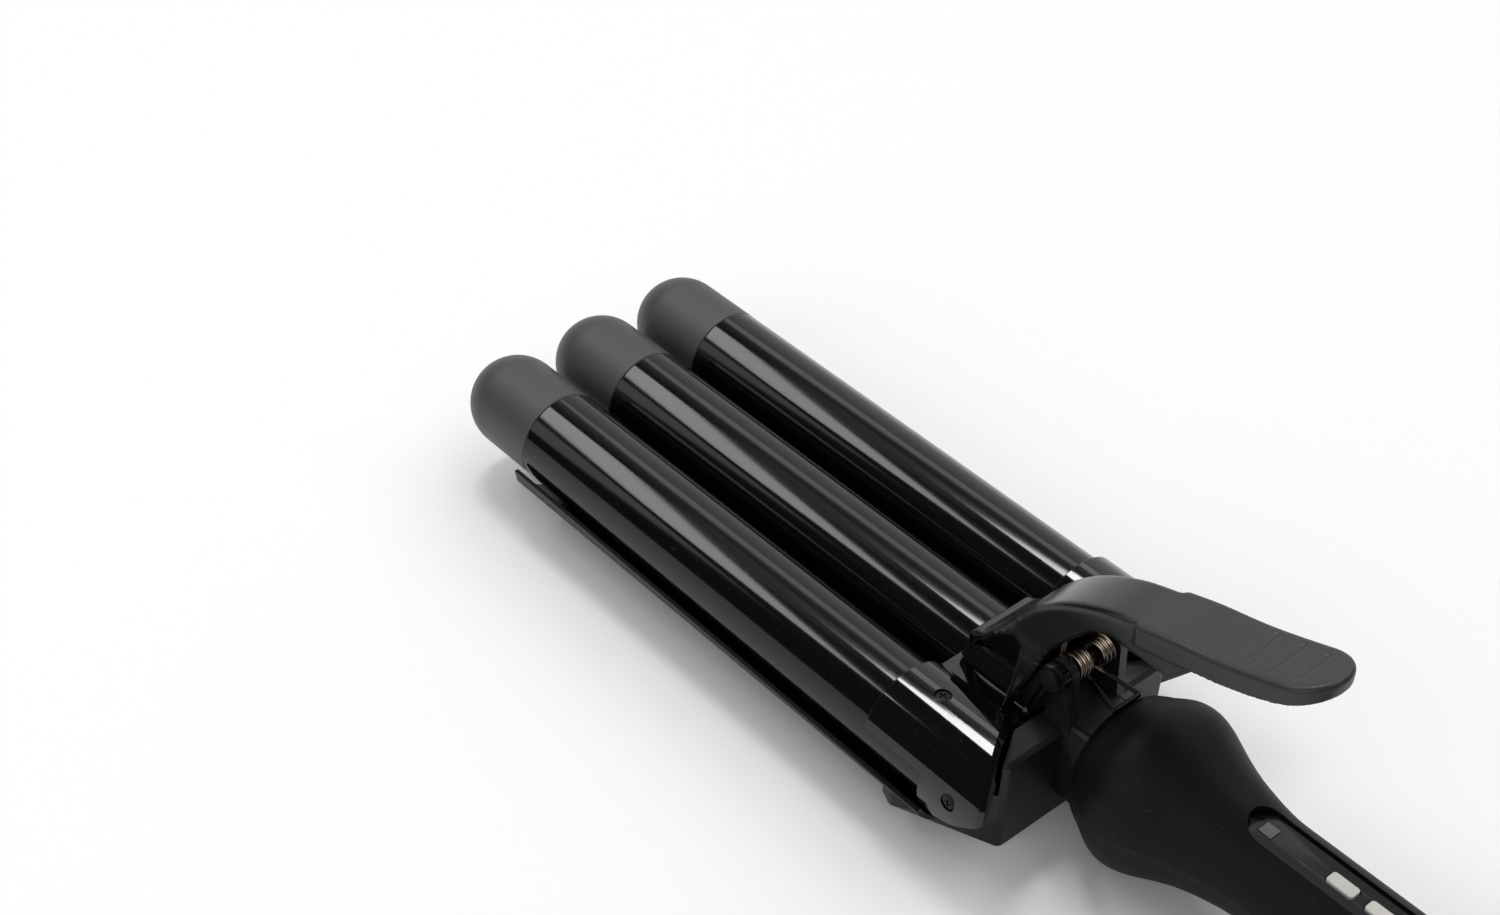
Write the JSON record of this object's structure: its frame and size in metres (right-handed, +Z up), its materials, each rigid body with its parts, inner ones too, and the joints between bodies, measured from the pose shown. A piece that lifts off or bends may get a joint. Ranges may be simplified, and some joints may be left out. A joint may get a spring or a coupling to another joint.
{
  "type": "hair waver",
  "caption": "Hair waver with parallel heated barrels on a sprung jaw over a fixed wave plate, a thumb lever, a bulbous handle with a recessed key panel and a swivel cord gland",
  "frame": {"origin": "middle of the bounding box, at its bottom, where the waver lies on a table", "axes": "+X from the handle to the barrel tips, along the barrel axes; +Y to the left seen from the handle; +Z up, the side the thumb lever is on"},
  "size_m": [0.373, 0.0852, 0.0838],
  "materials": {
    "barrel_coat": "glossy ceramic-coated black",
    "cap_grey": "fine matte dark grey, heat resistant",
    "plate_coat": "satin coated black",
    "head_black": "polished black",
    "lever_black": "fine matte black, soft sheen",
    "housing_charcoal": "matte charcoal",
    "handle_charcoal": "matte soft-touch charcoal",
    "panel_black": "polished black",
    "key_light": "pearly light grey",
    "window_grey": "smoked grey",
    "spring_wire": "plain drawn wire",
    "steel": "dark satin",
    "aluminium": "plain extruded",
    "heater_ceramic": "insulated ceramic strip",
    "board_green": "solder mask",
    "switch_black": "moulded"
  },
  "bodies": {
    "base": {"lower_housing": "housing_charcoal", "wave_plate": "plate_coat", "plate_screws": "steel", "handle_shell_upper": "handle_charcoal", "handle_shell_lower": "handle_charcoal", "handle_screws": "steel", "control_panel": "panel_black", "indicator_window": "window_grey", "circuit_board": "board_green", "key_switches": "switch_black", "end_cap": "handle_charcoal", "torsion_spring": "spring_wire"},
    "jaw": {"barrel_head": "head_black", "barrel_left": "barrel_coat", "barrel_middle": "barrel_coat", "barrel_right": "barrel_coat", "cap_left": "cap_grey", "cap_middle": "cap_grey", "cap_right": "cap_grey", "head_screws": "steel", "heat_spreaders_left": "aluminium", "heat_spreaders_middle": "aluminium", "heat_spreaders_right": "aluminium", "heater_left": "heater_ceramic", "heater_middle": "heater_ceramic", "heater_right": "heater_ceramic", "hinge_pin": "steel", "lever": "lever_black", "thermal_fuse": "steel"},
    "power_key": {"power_key": "key_light"},
    "plus_key": {"plus_key": "key_light"},
    "minus_key": {"minus_key": "key_light"},
    "gland": {"swivel_gland": "switch_black"}
  },
  "joints": [
    {"name": "jaw_hinge", "type": "hinge", "parent": "base", "child": "jaw", "pos_m": [0.0005, 0, 0.0425], "axis": [0, -1, 0], "range_deg": [0, 30], "stiffness_Nm_per_rad": 0.6, "springref_deg": -40.11, "deforming": ["torsion_spring"]},
    {"name": "power_key_press", "type": "slide", "parent": "base", "child": "power_key", "axis": [0, 0, -1], "range_m": [0, 0.0004], "stiffness_N_per_m": 2500, "springref_m": -0.0002},
    {"name": "plus_key_press", "type": "slide", "parent": "base", "child": "plus_key", "axis": [0, 0, -1], "range_m": [0, 0.0004], "stiffness_N_per_m": 2500, "springref_m": -0.0002},
    {"name": "minus_key_press", "type": "slide", "parent": "base", "child": "minus_key", "axis": [0, 0, -1], "range_m": [0, 0.0004], "stiffness_N_per_m": 2500, "springref_m": -0.0002},
    {"name": "gland_swivel", "type": "hinge", "parent": "base", "child": "gland", "pos_m": [-0.1775, 0, 0.0212], "axis": [1, 0, 0], "continuous": true}
  ]
}
